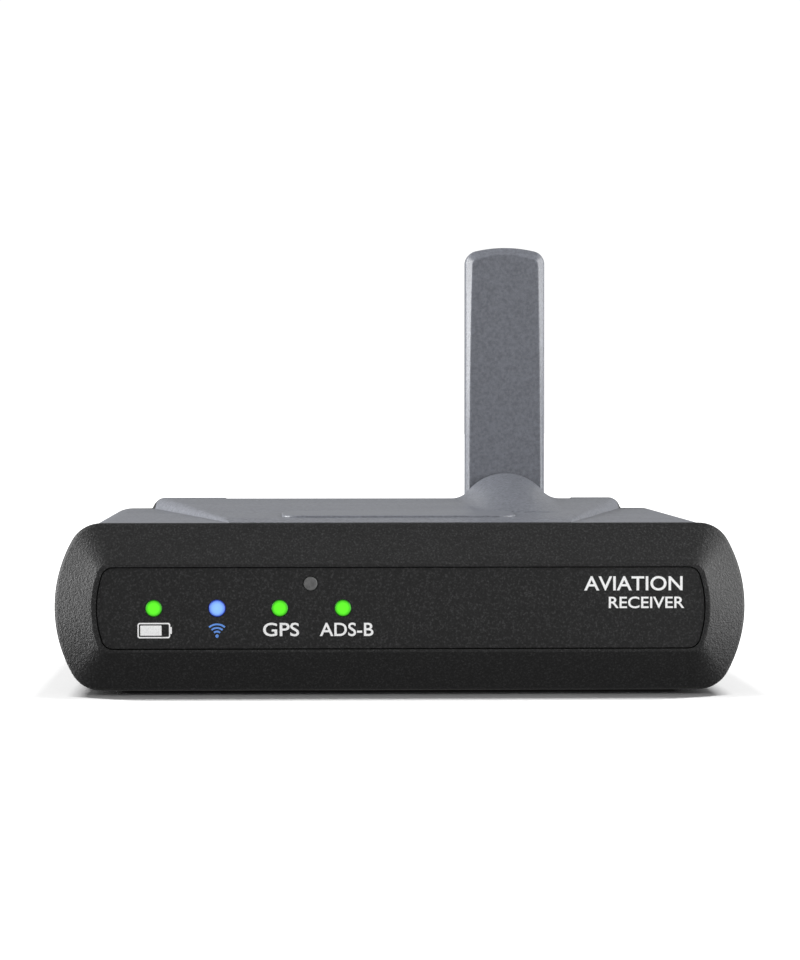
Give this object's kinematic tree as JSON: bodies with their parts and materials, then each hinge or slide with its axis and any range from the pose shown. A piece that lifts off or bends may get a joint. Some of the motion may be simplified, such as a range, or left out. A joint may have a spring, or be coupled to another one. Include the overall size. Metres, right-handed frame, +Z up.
{
  "type": "portable aviation gps receiver",
  "caption": "Flat black and grey cockpit receiver box with bulged ends, status lamps on its front and a blade antenna that folds sideways into the rear edge.",
  "frame": {"origin": "on the surface that the feet stand on, below the middle of the case", "axes": "+X to the right seen from the front, +Y to the back, +Z up; the front panel faces -Y"},
  "size_m": [0.1246, 0.092, 0.0847],
  "materials": {
    "case_black": "fine spark-eroded texture",
    "panel_black": "very fine matte texture",
    "cover_grey": "satin grey paint",
    "plate_grey": "satin",
    "lens_green": "lit light pipe",
    "lens_blue": "lit light pipe",
    "window_smoke": "smoked window",
    "foot_rubber": "matte rubber",
    "button_black": "satin",
    "bush_white": "acetal",
    "hardware_steel": "zinc plated",
    "shield_metal": "tinned sheet",
    "jack_brass": "gold plated",
    "board_green": "solder mask",
    "chip_black": "moulded epoxy",
    "lamp_white": "lamp body",
    "patch_ceramic": "ceramic with a silvered square",
    "battery_foil": "laminated foil",
    "flex_amber": "polyimide film",
    "lead_black": "cable sheath",
    "lead_red": "cable sheath"
  },
  "bodies": {
    "case": {"front_bezel": "case_black", "bottom_case": "case_black", "rear_cover": "case_black", "battery_door": "case_black", "front_panel": "panel_black", "top_cover": "cover_grey", "top_nameplate": "plate_grey", "lens_battery": "lens_green", "lens_gps": "lens_green", "lens_traffic": "lens_green", "lens_link": "lens_blue", "light_sensor_window": "window_smoke", "front_foot": "foot_rubber", "rear_foot": "foot_rubber", "power_switch": "button_black", "battery_socket": "button_black", "hinge_bush": "bush_white", "case_screws": "hardware_steel", "battery_door_screws": "hardware_steel", "board_screws": "hardware_steel", "gps_board_screws": "hardware_steel", "led_board_screws": "hardware_steel", "bracket_screws": "hardware_steel", "stop_pin": "hardware_steel", "hinge_bracket": "hardware_steel", "receiver_shield": "shield_metal", "wireless_module": "shield_metal", "usb_port": "shield_metal", "gps_jack": "jack_brass", "receiver_jack": "jack_brass", "aerial_sockets": "jack_brass", "main_board": "board_green", "led_board": "board_green", "gps_board": "board_green", "board_chips": "chip_black", "status_leds": "lamp_white", "gps_patch": "patch_ceramic", "battery_pack": "battery_foil", "led_flex": "flex_amber", "antenna_lead": "lead_black", "gps_lead": "lead_black", "battery_leads": "lead_red"},
    "antenna": {"antenna_front_shell": "cover_grey", "antenna_rear_shell": "cover_grey", "antenna_element": "board_green", "antenna_feed": "lead_black", "antenna_spindle": "hardware_steel", "stop_ring": "hardware_steel", "spring_washer": "hardware_steel", "spindle_washer": "hardware_steel", "spindle_nut": "hardware_steel"},
    "power_button": {"power_button": "button_black", "switch_plunger": "bush_white"}
  },
  "joints": [
    {"name": "antenna_hinge", "type": "hinge", "parent": "case", "child": "antenna", "pos_m": [0.02415, 0.0385, 0.0284], "axis": [0, -1, 0], "range_deg": [0, 90]},
    {"name": "power_button_press", "type": "slide", "parent": "case", "child": "power_button", "axis": [0, -1, 0], "range_m": [0, 0.0005], "stiffness_N_per_m": 1000, "springref_m": -0.0005}
  ]
}
